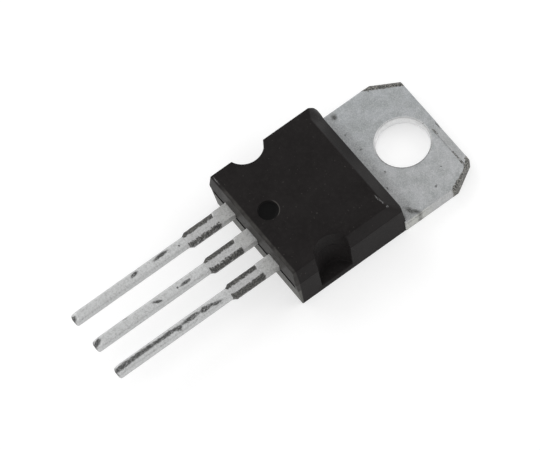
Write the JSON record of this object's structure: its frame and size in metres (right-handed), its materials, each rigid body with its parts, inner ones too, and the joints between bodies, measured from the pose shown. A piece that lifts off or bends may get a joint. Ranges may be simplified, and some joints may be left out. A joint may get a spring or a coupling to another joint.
{
  "type": "three-lead voltage regulator",
  "caption": "Linear voltage regulator in a black moulded power package with a metal mounting tab and flat in-line leads.",
  "frame": {"origin": "centre of the tab's mounting hole on the flat back face", "axes": "+Z out of the front of the body, +Y to the tab's end, leads run towards -Y, +X towards the output lead"},
  "size_m": [0.0102, 0.0289, 0.0045],
  "materials": {
    "tinned_tab": "matte tin plating",
    "tinned_lead": "satin tin plating",
    "solder": "dull soft solder",
    "silicon": "polished silicon",
    "bond_wire": "drawn wire",
    "mould": "fine matte moulding compound"
  },
  "bodies": {
    "root": {"tab_frame": "tinned_tab", "input_lead": "tinned_lead", "output_lead": "tinned_lead", "die_solder": "solder", "die": "silicon", "input_wire": "bond_wire", "output_wire": "bond_wire", "ground_wire": "bond_wire", "mould_body": "mould"}
  },
  "joints": []
}
